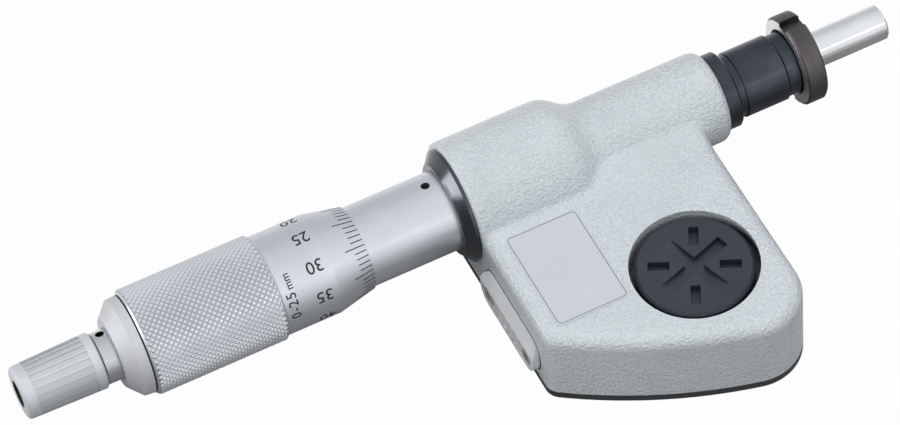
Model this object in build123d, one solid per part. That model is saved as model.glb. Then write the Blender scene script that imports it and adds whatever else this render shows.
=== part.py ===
from build123d import *
import os
from math import cos, hypot, radians, sin

os.makedirs("parts", exist_ok=True)

# Digital micrometer head, 0 to 25 mm. Millimetres.
# The spindle lies along X and its measuring tip points to +X. The battery side looks to +Z and the
# display side to -Z. The origin is on the spindle axis, where the plain stem register begins.

# Travel and common clearances
travel_out = 15.0
travel_back = 10.0
screw_clearance = 0.05
running_clearance = 0.03
end_gap = 1.0
screw_spare = 0.5
past = 1.0

# Stem, flange and clamp nut
stem_r = 6.0
register_length = 7.9
undercut_length = 1.5
undercut_depth = 0.3
flange_r = 6.9
flange_thickness = 2.5
flange_chamfer = 0.3
shoulder_step = 0.05
stem_chamfer = 0.4
stem_thread_depth = 0.35
nut_r = 8.2
nut_thickness = 3.8
nut_rest_gap = 2.6
nut_slot_width = 2.6
nut_slot_depth = 1.1
nut_slot_angle = 11.4
nut_thread_clearance = 0.06
stem_below_nut = 0.2
nut_chamfer = 0.4
stem_spigot_length = 13.0
spigot_r = 5.8
stem_bearing_length = 10.0
stem_relief = 0.6
seal_length = 2.8
seal_r = 4.6
seal_rear_gap = 0.2
seal_lip = 0.5

# Spindle
spindle_r = 3.175
spindle_showing = 14.7
spindle_screw_r = 3.6
spindle_taper_r = 3.0
keyway_width = 1.0
keyway_depth = 0.6
keyway_spare = 0.5
spindle_tip_chamfer = 0.3

# Housing tube
housing_length = 49.6
tube_big_r = 11.3
tube_small_r = 8.25
tube_big_length = 18.35
tube_step_length = 8.0
tube_nose_fillet = 2.0
tube_rear_round = 0.6
encoder_bore_r = 9.6
encoder_bore_depth = 15.0
bush_bore_r = 5.0

# Housing box
box_width = 43.7
back_z = 3.2
panel_z = -12.1
box_top_y = 8.0
bottom_left_y = -34.3
bottom_right_y = -51.8
bottom_bulge = 3.0
corner_left_r = 3.0
corner_right_r = 9.0
corner_top_r = 1.2
back_edge_r = 2.5
wall = 2.0
side_wall = 2.6
back_wall = 1.8
fairing_foot_gap = 1.1
fairing_slope = 15.0
fairing_lead = 1.0
cavity_tube_gap = 1.9
fairing_blend_r = 1.6
gasket_inset = 0.6
gasket_width = 0.8
gasket_height = 0.5
recess_wall = 1.5
panel_boss_r = 2.0
panel_boss_height = 3.1

# Front panel, display and buttons
panel_thickness = 1.65
panel_edge_round = 0.15
panel_screw_r = 0.8
panel_screw_head_r = 1.5
panel_screw_bite = 2.6
panel_screw_inset = 3.1
panel_screw_low_inset = 3.9
panel_screw_low_up = 6.4
window_corner_r = 1.0
window_gap = 0.05
window_screw_gap = 0.15
window_height = 15.0
window_center_y = -21.6
window_thickness = 0.8
window_ledge = 1.4
window_sink = 0.1
lcd_thickness = 1.7
frame_wall = 1.2
frame_lip = 0.6
strip_width = 1.3
button_r = 3.0
button_travel = 0.4
button_clearance = 0.08
button_sink = 0.15
button_flange = 0.6
button_spacing = 10.5
button_row_inset = 10.4
button_row_y = -33.9
button_row_slope = -15.0
dome_height = 0.95
mat_thickness = 0.5
mat_margin = 0.1
mat_corner_r = 2.5
dome_r = 2.2
dome_tip_r = 1.3
dome_hollow_r = 1.1
button_dome_gap = 0.05
button_flange_thickness = 0.6
button_edge_r = 0.4

# Board
board_thickness = 1.0
board_back_z = -7.2
board_gap = 0.4
board_post_r = 1.7
board_screw_r = 0.8
board_screw_head_r = 1.2
board_screw_head = 0.7
board_screw_length = 3.0
board_screw_edge = 1.0
board_screw_left = 5.0
board_screw_left_up = 0.7
board_screw_low = 9.7
board_screw_low_up = 6.2
chip_size = 7.0
chip_height = 1.2
chip_from_right = 26.0
chip_from_top = 2.5

# Battery and its cap
cap_from_right = 14.8
cap_y = -32.6
recess_r = 11.15
recess_depth = 2.8
cap_r = 10.25
cap_sink = 0.2
cap_head = 1.9
cap_chamfer = 0.6
cap_bore_r = 8.2
cap_bore_length = 2.0
recess_shelf = 1.6
cap_skirt_wall = 1.25
cap_skirt_length = 3.7
slot_width = 2.3
slot_reach = 6.9
slot_depth = 1.2
pocket_depth = 1.5
pocket_inner = 4.2
pocket_outer = 7.9
pocket_width = 1.7
cap_slot_angle = 19.0
cell_r = 5.8
cell_height = 5.4
cell_top_z = -0.5
holder_clearance = 0.2
holder_wall = 1.2
holder_floor = 0.8
holder_top_z = -2.9
contact_thickness = 0.16
contact_width = 3.0
contact_below_top = 1.4
leaf_hole_r = 0.6
leaf_rim_r = 3.8
leaf_rim_width = 0.4
leaf_gap = 0.04
cell_step = 1.0
cell_step_height = 0.5
cell_edge_r = 0.4
cap_pad_r = 4.0
cap_pad_gap = 0.05

# Output connector and its cover
cover_length = 19.9
cover_center_y = -21.3
cover_top_z = -3.3
cover_bottom_z = -11.0
cover_stand_out = 1.4
cover_slope_height = 2.9
cover_gap = 0.15
cover_corner_r = 3.0
cover_pocket = 0.8
cover_gasket = 0.4
cover_screw_spacing = 14.4
cover_screw_z = -8.3
cover_screw_head_r = 1.5
cover_screw_r = 0.8
groove_pitch = 2.0
groove_count = 6
groove_width = 0.7
groove_depth = 0.35
groove_margin = 1.0
connector_length = 8.8
connector_height = 3.6
connector_depth = 5.5
connector_gap = 0.2
connector_set_back = 0.4
connector_wall = 0.7
connector_back = 1.0
connector_pins = 5
pin_pitch = 1.27
pin_row_pitch = 1.2
pin_half = 0.2
pin_short = 0.5
cover_screw_head = 0.7
screw_flat_depth = 0.75
screw_flat_margin = 0.4
cover_lip = 0.1
gasket_band = 1.0
gasket_hole_gap = 0.2
cross_depth = 0.4
cross_width = 0.35
cross_share = 0.6
screw_end_gap = 0.3

# Label
label_width = 13.6
label_height = 20.6
label_thickness = 0.12
label_left_from_wall = 3.0
label_below_foot = 0.2
label_corner_r = 1.0

# Sleeves
sleeve_showing = 16.5
sleeve_r = 7.22
sleeve_bore_r = 6.5
sleeve_adjust_clearance = 0.04
inner_bore_r = 4.2
nut_zone_length = 12.0
sleeve_hole_r = 0.8
sleeve_hole_from_ring = 2.5
sleeve_hole_angle = 9.5
sleeve_overlap = 1.7
sleeve_end_gap = 0.1
inner_flange = 4.5
inner_rear_length = 8.0
inner_rear_step = 0.86
adjusting_nut_set_in = 0.4
adjusting_nut_length = 5.1
adjusting_nut_gap = 0.06

# Sleeve ring
ring_big_r = 10.3
ring_small_r = 8.7
ring_length = 2.2
ring_thread_r = 8.2
ring_collar_length = 0.8
ring_gap = 0.05
ring_edge = 0.35
ring_land = 0.6

# Thimble and cap
thimble_r = 9.0
knurl_r = 9.5
thimble_length = 41.2
thimble_edge_r = 7.5
thimble_bevel = 6.9
thimble_smooth = 9.9
thimble_clearance = 0.08
thimble_inner_r = 7.9
thimble_bore_step = 0.6
thimble_web = 5.0
thimble_socket_r = 8.2
thimble_socket_depth = 7.0
seal_ring_thickness = 0.3
seal_ring_r = 8.75
cap_front_r = 8.85
cap_shoulder_r = 8.7
cap_rear_r = 6.25
cap_rim_length = 1.7
cap_cone_length = 2.25
cap_spigot_gap = 0.05
cap_spigot_wall = 1.35
cap_spigot_short = 1.5
cap_counterbore = 0.4
cap_collar_gap = 0.15

# Ratchet
collar_r = 4.6
collar_length = 3.08
collar_hole_r = 0.8
collar_hole_angle = 22.0
collar_hole_depth = 1.6
collar_chamfer = 0.15
collar_neck_r = 3.9
collar_screw_r = 1.75
knob_gap = 0.15
knob_length = 14.46
knob_big_r = 5.05
knob_small_r = 4.75
knob_bore_r = 4.0
knob_end_round = 0.6
knob_edge = 0.25
knob_end_play = 0.1
flute_count = 24
flute_depth = 0.16
flute_rib = 0.36
flute_margin_rear = 2.2
flute_margin_front = 1.75
stub_r = 1.55
stub_gap = 0.07
ratchet_teeth = 12
tooth_height = 0.4
tooth_gap = 0.06
tooth_root = 0.1
pawl_stroke = 0.45
pawl_thickness = 1.7
pawl_face_gap = 0.05
pawl_rim_gap = 0.25
pawl_bore_gap = 0.1
pawl_key_width = 0.6
pawl_key_depth = 0.3
pawl_slot_width = 0.8
pawl_slot_depth = 0.4
spring_wire_r = 0.25
spring_coil_r = 2.4
spring_end_gap = 0.05
knob_cavity = 8.3
knob_recess = 3.0
knob_recess_r = 2.4
knob_screw_r = 0.8
knob_screw_length = 5.2
knob_screw_head = 1.3
knob_screw_head_gap = 0.35
knob_screw_chamfer = 0.25
collar_screw_length = 8.3
tooth_half_width = 0.5
crown_inner_r = 2.2
spring_turns = 6

# Encoder
encoder_gap = 0.3
stator_thickness = 1.4
rotor_thickness = 1.2
bush_r = 5.2
key_r = 0.45
key_from_end = 1.4
key_floor_gap = 0.08
key_top_gap = 0.1
bush_nose = 5.1
rotor_rim_gap = 0.8
stator_bore_gap = 0.4
washer_big_r = 5.1
washer_small_r = 4.1
washer_thickness = 0.25
washer_gap = 0.1
flex_low_z = -3.0
flex_high_z = 0.8
flex_out_y = -19.0
flex_foot_gap = 0.3
flex_width = 4.0
flex_half = 0.125
flex_clearance = 0.2
flex_socket_thickness = 2.4
flex_socket_height = 1.2
flex_socket_margin = 0.5


def export(solid, name):
    """Write one piece under its own name."""
    export_step(solid, f"parts/{name}.step")
    return solid


def turned(*profile):
    """A solid turned about the spindle axis from its (x, radius) corners."""
    return revolve(make_face(Polyline(*profile, close=True)), axis=Axis.X)


def collar(x0, x1, r_out, r_in=0.0):
    """A plain round bar or tube along the spindle axis."""
    return turned((x0, r_in), (x1, r_in), (x1, r_out), (x0, r_out))


def post(x, y, z0, z1, r, r_in=0.0):
    """An upright round post or tube between two heights."""
    solid = Pos(x, y, z0) * Cylinder(r, z1 - z0, align=(Align.CENTER, Align.CENTER, Align.MIN))
    if r_in:
        solid -= Pos(x, y, z0) * Cylinder(r_in, z1 - z0, align=(Align.CENTER, Align.CENTER, Align.MIN))
    return solid


def block(x0, x1, y0, y1, z0, z1):
    """A box between two corners."""
    return Pos((x0 + x1) / 2, (y0 + y1) / 2, (z0 + z1) / 2) * Box(x1 - x0, y1 - y0, z1 - z0)


def slab(face, z0, z1):
    """A flat outline raised between two heights."""
    return extrude(Pos(0, 0, z0) * face, z1 - z0)


# Places along the spindle, worked out from the sizes
shoulder_x = -undercut_length
housing_right = shoulder_x - flange_thickness
housing_left = housing_right - housing_length
box_right = housing_left + box_width
nut_left = register_length + nut_rest_gap
nut_right = nut_left + nut_thickness
stem_end = nut_right - stem_below_nut
spindle_tip = nut_right + spindle_showing
spigot_end = housing_right - stem_spigot_length
bore_end = housing_left + encoder_bore_depth
ring_left = housing_left - ring_length
thimble_front = ring_left - sleeve_showing
thimble_rear = thimble_front - thimble_length
socket_floor = thimble_rear + thimble_socket_depth
web_front = socket_floor + thimble_web
cap_front = thimble_rear - seal_ring_thickness
cap_rear = cap_front - cap_rim_length - cap_cone_length
collar_front = cap_rear + cap_counterbore
collar_rear = collar_front - collar_length
knob_front = collar_rear - knob_gap
knob_rear = knob_front - knob_length
spindle_rear = socket_floor
inner_rear = web_front + travel_out + end_gap
nut_zone_front = inner_rear + nut_zone_length
screw_front = nut_zone_front + travel_back + end_gap + screw_spare
sleeve_rear = thimble_front - travel_back - sleeve_overlap
flange_front = housing_left + inner_flange
bush_rear = screw_front + travel_out + end_gap
bush_front = bore_end + bush_nose
key_x = bush_rear + key_from_end
keyway_rear = key_x - travel_out - key_r - keyway_spare
keyway_front = key_x + travel_back + key_r + keyway_spare
rotor_rear = bore_end - stator_thickness - encoder_gap - rotor_thickness
flex_x = bore_end - stator_thickness / 2
seal_front = spigot_end + seal_length
crown_x = knob_front - knob_cavity
stub_rear = knob_rear + knob_recess

# Places across the housing, worked out from the sizes
fairing_foot_y = -(tube_big_r + fairing_foot_gap)
cavity_top_y = -(tube_big_r + cavity_tube_gap)
cap_x = box_right - cap_from_right
button_row_x = housing_left + button_row_inset
window_margin = side_wall + board_post_r + board_screw_head_r + window_screw_gap + frame_wall
window_length = box_width - 2 * window_margin


def box_outline(inset=0.0):
    """The box seen from the display side: straight top and sides, and a bowed bottom edge."""
    top_left = (housing_left, box_top_y)
    top_right = (box_right, box_top_y)
    low_left = (housing_left, bottom_left_y)
    low_right = (box_right, bottom_right_y)
    chord = hypot(box_width, bottom_right_y - bottom_left_y)
    bow_x = (housing_left + box_right) / 2 + bottom_bulge * (bottom_right_y - bottom_left_y) / chord
    bow_y = (bottom_left_y + bottom_right_y) / 2 - bottom_bulge * box_width / chord
    edge = Line(top_left, top_right) + Line(top_right, low_right)
    edge += ThreePointArc(low_right, (bow_x, bow_y), low_left) + Line(low_left, top_left)
    face = make_face(edge)
    corners = face.vertices().sort_by(Axis.Y)
    face = fillet(corners[0], corner_right_r)
    face = fillet(face.vertices().sort_by_distance((housing_left, bottom_left_y, 0))[0], corner_left_r)
    for x in (housing_left, box_right):
        face = fillet(face.vertices().sort_by_distance((x, box_top_y, 0))[0], corner_top_r)
    return offset(face, amount=-inset) if inset else face


def cavity_outline(inset=0.0):
    """The room for the board, clear of the side walls and of the spindle tube."""
    room = box_outline(wall + inset)
    left = housing_left + side_wall + inset
    top = cavity_top_y - inset
    low = bottom_right_y - bottom_bulge
    frame = Pos((left + box_right) / 2, (top + low) / 2) * Rectangle(box_right - left, top - low)
    return room & frame


def cover_outline(grow=0.0):
    """The connector cover seen from its own side: local X runs along Y, local Y along Z."""
    height = cover_top_z - cover_bottom_z + 2 * grow
    face = RectangleRounded(cover_length + 2 * grow, height, cover_corner_r + grow)
    return Plane((0, cover_center_y, (cover_top_z + cover_bottom_z) / 2), (0, 1, 0), (1, 0, 0)) * face


def side_plate(face, x0, x1):
    """An outline in the YZ plane made solid between two places along X."""
    return extrude(Pos(x0, 0, 0) * face, x1 - x0, dir=(1, 0, 0))


def around(angle, solid):
    """Turn a piece about the spindle axis, from straight up towards +Y."""
    return Rot(X=-angle) * solid


def at_cap(solid):
    """Set a piece built on the Z axis over the battery."""
    return Pos(cap_x, cap_y, 0) * solid


# Heights and places inside the box
panel_face_z = panel_z - panel_thickness
board_front_z = board_back_z - board_thickness
recess_floor_z = back_z - recess_depth
cap_top_z = back_z - cap_sink
cap_under_z = cap_top_z - cap_head
boss_bottom_z = recess_floor_z - recess_shelf - cap_bore_length
cell_bottom_z = cell_top_z - cell_height
contact_offset = cell_r + 0.02
chip_x = box_right - chip_from_right
chip_y = cavity_top_y - chip_from_top - chip_size
flex_foot_z = board_back_z + flex_foot_gap
adjusting_r = sleeve_bore_r - sleeve_adjust_clearance
cover_screw_rows = [cover_center_y - cover_screw_spacing / 2, cover_center_y + cover_screw_spacing / 2]
holder_floor_z = board_back_z + holder_floor
box_middle_x = (housing_left + box_right) / 2
lcd_length = window_length
lcd_height = window_height - window_ledge
lcd_front_z = panel_z + frame_lip
lcd_back_z = lcd_front_z + lcd_thickness
panel_screw_spots = [
    (housing_left + panel_screw_inset, box_top_y - panel_screw_inset),
    (box_right - panel_screw_inset, box_top_y - panel_screw_inset),
    (housing_left + panel_screw_inset, bottom_left_y + panel_screw_inset),
    (box_right - panel_screw_low_inset, bottom_right_y + panel_screw_low_up),
]
board_screw_y = cavity_top_y - board_post_r
board_screw_spots = [
    (housing_left + side_wall + board_post_r, board_screw_y),
    (box_right - wall - board_gap - board_screw_edge, board_screw_y),
    (housing_left + board_screw_left, bottom_left_y + board_screw_left_up),
    (box_right - board_screw_low, bottom_right_y + board_screw_low_up),
]
row_dx = button_spacing * cos(radians(button_row_slope))
row_dy = button_spacing * sin(radians(button_row_slope))
button_spots = [(button_row_x + i * row_dx, button_row_y + i * row_dy) for i in range(3)]


# Housing: one casting with the spindle tube, the box and the fairing between them
def tube_profile():
    """Outer profile of the spindle tube: big end, soft step, small end with a round nose."""
    step_x = housing_left + tube_big_length
    small_x = step_x + tube_step_length
    nose_x = housing_right - tube_nose_fillet
    nose_r = tube_small_r - tube_nose_fillet
    rear_x = housing_left + tube_rear_round
    middle = (step_x + small_x) / 2
    line = Polyline((housing_left, 0), (housing_left, tube_big_r - tube_rear_round))
    line += RadiusArc(line @ 1, (rear_x, tube_big_r), tube_rear_round)
    line += Line((rear_x, tube_big_r), (step_x, tube_big_r))
    line += Bezier((step_x, tube_big_r), (middle, tube_big_r), (middle, tube_small_r), (small_x, tube_small_r))
    line += Line((small_x, tube_small_r), (nose_x, tube_small_r))
    line += RadiusArc((nose_x, tube_small_r), (housing_right, nose_r), tube_nose_fillet)
    line += Polyline((housing_right, nose_r), (housing_right, 0), (housing_left, 0))
    return make_face(line)


def fairing():
    """The sloped shelf between the tube and the flat back, with the box's own rounded edges."""
    run = 2 * tube_big_r / 3
    drop = back_z - panel_z - wall
    shelf = block(housing_left, box_right, -fairing_lead, run, -drop, 0)
    ends = shelf.edges().filter_by(Axis.Y).group_by(Axis.Z)[-1]
    shelf = fillet(ends, back_edge_r)
    return Pos(0, fairing_foot_y, back_z) * Rot(X=fairing_slope) * shelf


def housing_shell():
    """The outside of the casting, with a soft blend where the tube meets the fairing."""
    box = slab(box_outline(), panel_z, back_z)
    box = fillet(box.edges().group_by(Axis.Z)[-1], back_edge_r)
    shell = box + fairing() + revolve(tube_profile(), axis=Axis.X)
    seam = [e for e in shell.edges() if on_tube_seam(e)]
    return fillet(seam, fairing_blend_r)


def on_tube_seam(edge):
    """True for the edges along which the tube leaves the fairing or its rounded ends."""
    middle = edge.center()
    above_back = middle.Z > back_z and fairing_foot_y < middle.Y < 0
    on_tube = hypot(middle.Y, middle.Z) < tube_big_r + 0.3
    return above_back and on_tube and abs((edge @ 1).X - (edge @ 0).X) > back_edge_r / 3


def hollow_for_spindle():
    """Encoder room, bush bore and the bore that the stem's spigot is fixed in."""
    room = collar(housing_left - past, bore_end, encoder_bore_r)
    room += collar(bore_end - past, spigot_end + past, bush_bore_r)
    return room + collar(spigot_end, housing_right + past, spigot_r)


def battery_boss():
    """The stepped boss around the battery, still without its recess and bore."""
    boss = post(cap_x, cap_y, recess_floor_z - recess_shelf, back_z - back_wall, recess_r + recess_wall)
    return boss + post(cap_x, cap_y, boss_bottom_z, back_z - back_wall, cap_bore_r + wall)


def make_housing():
    """The casting, bored for the spindle, hollowed for the board and pocketed for its covers."""
    body = housing_shell()
    body -= slab(cavity_outline(), panel_z - past, back_z - back_wall)
    body += battery_boss()
    for x, y in board_screw_spots:
        body += post(x, y, board_back_z, back_z - back_wall, board_post_r)
    for x, y in panel_screw_spots[2:]:
        body += post(x, y, panel_z, panel_z + panel_boss_height, panel_boss_r)
    body -= hollow_for_spindle()
    body -= post(cap_x, cap_y, recess_floor_z, back_z + past, recess_r)
    body -= post(cap_x, cap_y, boss_bottom_z - past, back_z, cap_bore_r)
    for x, y in board_screw_spots:
        body -= post(x, y, board_back_z - past, board_back_z + board_screw_length, board_screw_r)
    for x, y in panel_screw_spots:
        body -= post(x, y, panel_z - past, panel_z + panel_screw_bite, panel_screw_r)
    body -= slab(gasket_track(), panel_z - past, panel_z + gasket_height)
    body -= side_plate(cover_outline(cover_gap), housing_left - past, housing_left + cover_pocket)
    body -= connector_window()
    for y in cover_screw_rows:
        body -= cross_bar(housing_left, housing_left + side_wall, y, cover_screw_z, cover_screw_r)
    return body - flex_slot()


def gasket_track():
    """The ring that the panel gasket lies in, just inside the rim."""
    return box_outline(gasket_inset) - box_outline(gasket_inset + gasket_width)


def cross_bar(x0, x1, y, z, r):
    """A round bar along X away from the spindle axis."""
    return Pos(0, y, z) * collar(x0, x1, r)


def connector_window():
    """The opening in the left wall behind the connector cover."""
    half = connector_length / 2 + connector_gap
    low = board_back_z - connector_gap
    high = board_back_z + connector_height + connector_gap
    return block(housing_left - past, housing_left + side_wall + past, cover_center_y - half,
                 cover_center_y + half, low, high)


def flex_slot():
    """The slot that lets the encoder's flex out of the encoder room and into the box."""
    half = flex_half + flex_clearance
    return block(flex_x - half, flex_x + half, cavity_top_y - past, past - encoder_bore_r,
                 flex_low_z - flex_clearance, flex_high_z + flex_clearance)


# Front panel with its window, gasket and screws
def make_front_panel():
    panel = slab(box_outline(), panel_face_z, panel_z)
    panel = fillet(panel.edges().group_by(Axis.Z)[0], panel_edge_round)
    seat = RectangleRounded(window_length, window_height, window_corner_r)
    view_length, view_height = window_length - 2 * window_ledge, window_height - 2 * window_ledge
    view = RectangleRounded(view_length, view_height, window_corner_r)
    place = Pos(box_middle_x, window_center_y)
    panel -= slab(place * seat, panel_face_z - past, panel_face_z + window_sink + window_thickness)
    panel -= slab(place * view, panel_face_z, panel_z + past)
    for x, y in button_spots:
        panel -= post(x, y, panel_face_z - past, panel_z + past, button_r + button_clearance)
    for x, y in panel_screw_spots:
        panel -= post(x, y, panel_face_z - past, panel_z + past, panel_screw_r)
        panel -= screw_cone(x, y)
    return panel


def screw_cone(x, y):
    """The countersunk head of a panel screw, as a cone that opens at the panel's face."""
    depth = panel_screw_head_r - panel_screw_r
    cone = Cone(panel_screw_head_r, panel_screw_r, depth, align=(Align.CENTER, Align.CENTER, Align.MIN))
    return Pos(x, y, panel_face_z) * cone


def cross_recess(head_r):
    """Two crossed cuts for a driver, reaching both ways from the XY plane."""
    reach = 2 * cross_share * head_r
    return Box(reach, cross_width, 2 * cross_depth) + Box(cross_width, reach, 2 * cross_depth)


def make_panel_screws():
    screws = []
    for x, y in panel_screw_spots:
        screw = screw_cone(x, y) + post(x, y, panel_face_z, panel_z + panel_screw_bite, panel_screw_r)
        screws.append(screw - Pos(x, y, panel_face_z) * cross_recess(panel_screw_head_r))
    return Compound(children=screws)


def make_window():
    plate = RectangleRounded(window_length - 2 * window_gap, window_height - 2 * window_gap, window_corner_r)
    low = panel_face_z + window_sink
    return slab(Pos(box_middle_x, window_center_y) * plate, low, low + window_thickness)


def centered(length, height, z0, z1):
    """A plain block centred behind the display window."""
    x, y = box_middle_x, window_center_y
    return block(x - length / 2, x + length / 2, y - height / 2, y + height / 2, z0, z1)


def make_lcd_frame():
    frame = centered(lcd_length + 2 * frame_wall, lcd_height + 2 * frame_wall, panel_z, board_front_z)
    frame -= centered(lcd_length, lcd_height, lcd_front_z, board_front_z + past)
    view_length = window_length - 2 * window_ledge
    return frame - centered(view_length, window_height - 2 * window_ledge, panel_z - past, lcd_front_z + past)


def make_contact_strips():
    strips = []
    for side in (-1, 1):
        y = window_center_y + side * (lcd_height - strip_width) / 2
        x0 = box_middle_x - lcd_length / 2
        strip = block(x0, x0 + lcd_length, y - strip_width / 2, y + strip_width / 2, lcd_back_z, board_front_z)
        strips.append(strip)
    return Compound(children=strips)


# Main board and what stands on it
def make_board():
    board = slab(cavity_outline(board_gap), board_front_z, board_back_z)
    for x, y in board_screw_spots:
        board -= post(x, y, board_front_z - past, board_back_z + past, board_screw_r)
    return board - contact_strip(board_front_z - past, board_back_z + past)


def make_board_screws():
    screws = []
    for x, y in board_screw_spots:
        screw = post(x, y, board_front_z - board_screw_head, board_front_z, board_screw_head_r)
        screw += post(x, y, board_front_z, board_back_z + board_screw_length, board_screw_r)
        low = board_front_z - board_screw_head
        screws.append(screw - Pos(x, y, low) * cross_recess(board_screw_head_r))
    return Compound(children=screws)


def make_key_mat():
    """The rubber sheet under the buttons, with one hollow dome for each."""
    half = button_r + mat_margin
    first, last = button_spots[0], button_spots[-1]
    middle = ((first[0] + last[0]) / 2, (first[1] + last[1]) / 2)
    sheet = RectangleRounded(2 * button_spacing + 2 * half, 2 * half, mat_corner_r)
    mat = slab(Pos(*middle) * Rot(Z=button_row_slope) * sheet, board_front_z - mat_thickness, board_front_z)
    for x, y in button_spots:
        top = board_front_z - mat_thickness
        dome = Cone(dome_tip_r, dome_r, dome_height, align=(Align.CENTER, Align.CENTER, Align.MAX))
        mat += Pos(x, y, top) * dome
        mat -= post(x, y, top - dome_height + mat_thickness, board_front_z, dome_hollow_r)
    return mat


def make_button(x, y):
    """A round button with a hidden flange that stops it behind the panel."""
    top = board_front_z - mat_thickness - dome_height - button_travel - button_dome_gap
    button = post(x, y, panel_face_z + button_sink, top, button_r)
    button = fillet(button.edges().group_by(Axis.Z)[0], button_edge_r)
    low = panel_z + button_dome_gap
    return button + post(x, y, low, low + button_flange_thickness, button_r + button_flange)


def make_holder():
    """The open cup on the board that the cell drops into, slotted for the side contact."""
    inner = cell_r + holder_clearance
    cup = post(cap_x, cap_y, board_back_z, holder_top_z, inner + holder_wall)
    cup -= post(cap_x, cap_y, holder_floor_z, holder_top_z + past, inner)
    return cup - contact_strip(board_back_z - past, holder_top_z + past)


def make_contact_minus():
    """A dished leaf under the cell."""
    rise = cell_bottom_z - holder_floor_z - contact_thickness - leaf_gap
    rim = leaf_rim_r - leaf_rim_width
    edge = Polyline((leaf_hole_r, rise), (rim, 0), (leaf_rim_r, 0), (leaf_rim_r, contact_thickness),
                    (rim, contact_thickness), (leaf_hole_r, rise + contact_thickness), close=True)
    leaf = revolve(Plane.XZ * make_face(edge), axis=Axis.Z)
    return Pos(cap_x, cap_y, holder_floor_z) * leaf


def contact_strip(z0, z1):
    """A flat strip that stands beside the cell between two heights."""
    half = contact_width / 2
    return at_cap(block(contact_offset, contact_offset + contact_thickness, -half, half, z0, z1))


def make_battery():
    step_z = cell_bottom_z + cell_step_height
    cell = post(cap_x, cap_y, step_z, cell_top_z, cell_r)
    cell = fillet(cell.edges().group_by(Axis.Z)[-1], cell_edge_r)
    return cell + post(cap_x, cap_y, cell_bottom_z, step_z, cell_r - cell_step)


def coin_slot(angle):
    """A slot with the round floor of a coin, across the cap."""
    coin_r = (slot_reach ** 2 + slot_depth ** 2) / (2 * slot_depth)
    coin = Pos(0, 0, cap_top_z + coin_r - slot_depth) * Rot(X=90) * Cylinder(coin_r, slot_width)
    return Rot(Z=angle) * coin


def make_cap():
    """The threaded cap: bevelled head, coin slots, four pockets, skirt and centre pad."""
    head = post(0, 0, cap_under_z, cap_top_z, cap_r)
    head = chamfer(head.edges().group_by(Axis.Z)[-1], cap_chamfer)
    skirt_r = cap_bore_r - screw_clearance
    low = cap_under_z - cap_skirt_length
    cap = head + post(0, 0, low, cap_under_z, skirt_r, skirt_r - cap_skirt_wall)
    cap += post(0, 0, cell_top_z + cap_pad_gap, cap_under_z, cap_pad_r)
    for angle in (cap_slot_angle, cap_slot_angle + 90):
        cap -= coin_slot(angle)
    floor = cap_top_z - slot_depth
    square_end = block(0, slot_reach, -slot_width / 2, slot_width / 2, floor, cap_top_z + past)
    cap -= Rot(Z=cap_slot_angle) * square_end
    low = cap_top_z - pocket_depth
    pocket = block(pocket_inner, pocket_outer, -pocket_width / 2, pocket_width / 2, low, cap_top_z + past)
    for i in range(4):
        cap -= Rot(Z=cap_slot_angle + 45 + 90 * i) * pocket
    return at_cap(cap)


def make_cap_o_ring():
    room = cap_under_z - recess_floor_z
    minor = (room - 2 * running_clearance) / 2
    ring = Torus((cap_bore_r + cap_r) / 2, minor)
    return at_cap(Pos(0, 0, recess_floor_z + room / 2) * ring)


# Connector behind the left wall and its cover
def make_cover():
    """The cover plate: sloped towards the back, grooved, with a flat at each screw."""
    outer_x = housing_left - cover_stand_out
    seat_x = housing_left + cover_pocket - cover_gasket
    plate = side_plate(cover_outline(), outer_x, seat_x)
    low = cover_top_z - cover_slope_height
    wedge = Polyline((outer_x - past, cover_top_z), (outer_x - past, low), (outer_x, low),
                     (housing_left - cover_lip, cover_top_z), close=True)
    across = Plane((0, cover_center_y, 0), (1, 0, 0), (0, -1, 0))
    plate -= extrude(across * make_face(wedge), cover_length, both=True)
    for i in range(groove_count):
        y = cover_center_y + (i - (groove_count - 1) / 2) * groove_pitch
        plate -= block(outer_x - past, outer_x + groove_depth, y - groove_width / 2, y + groove_width / 2,
                       cover_bottom_z + groove_margin, low)
    flat_r = cover_screw_head_r + screw_flat_margin
    for y in cover_screw_rows:
        plate -= cross_bar(outer_x - past, outer_x + screw_flat_depth, y, cover_screw_z, flat_r)
        plate -= cross_bar(outer_x - past, seat_x + past, y, cover_screw_z, cover_screw_r)
    return plate


def make_cover_screws():
    screws = []
    head_x = housing_left - cover_stand_out + screw_flat_depth
    for y in cover_screw_rows:
        screw = cross_bar(head_x - cover_screw_head, head_x, y, cover_screw_z, cover_screw_head_r)
        screw += cross_bar(head_x, housing_left + side_wall - screw_end_gap, y, cover_screw_z, cover_screw_r)
        place = Pos(head_x - cover_screw_head, y, cover_screw_z) * Rot(Y=90)
        screws.append(screw - place * cross_recess(cover_screw_head_r))
    return Compound(children=screws)


def make_cover_gasket():
    inner = cover_outline(-gasket_band)
    seat_x = housing_left + cover_pocket
    gasket = side_plate(cover_outline() - inner, seat_x - cover_gasket, seat_x)
    for y in cover_screw_rows:
        gasket -= cross_bar(seat_x - past, seat_x + past, y, cover_screw_z, cover_screw_r + gasket_hole_gap)
    return gasket


def make_connector():
    """The output socket on the board's edge, open towards the cover."""
    front = housing_left + cover_pocket + connector_set_back
    back = front + connector_depth - connector_back
    half = connector_length / 2
    inner = half - connector_wall
    y = cover_center_y
    z0, z1 = board_back_z, board_back_z + connector_height
    socket = block(front, back + connector_back, y - half, y + half, z0, z1)
    socket -= block(front - past, back, y - inner, y + inner, z0 + connector_wall, z1 - connector_wall)
    for i in range(connector_pins):
        for row in (-1, 1):
            pin = Pos(0, y + (i - (connector_pins - 1) / 2) * pin_pitch, (z0 + z1 + row * pin_row_pitch) / 2)
            socket += pin * block(front + pin_short, back, -pin_half, pin_half, -pin_half, pin_half)
    return socket


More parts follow.
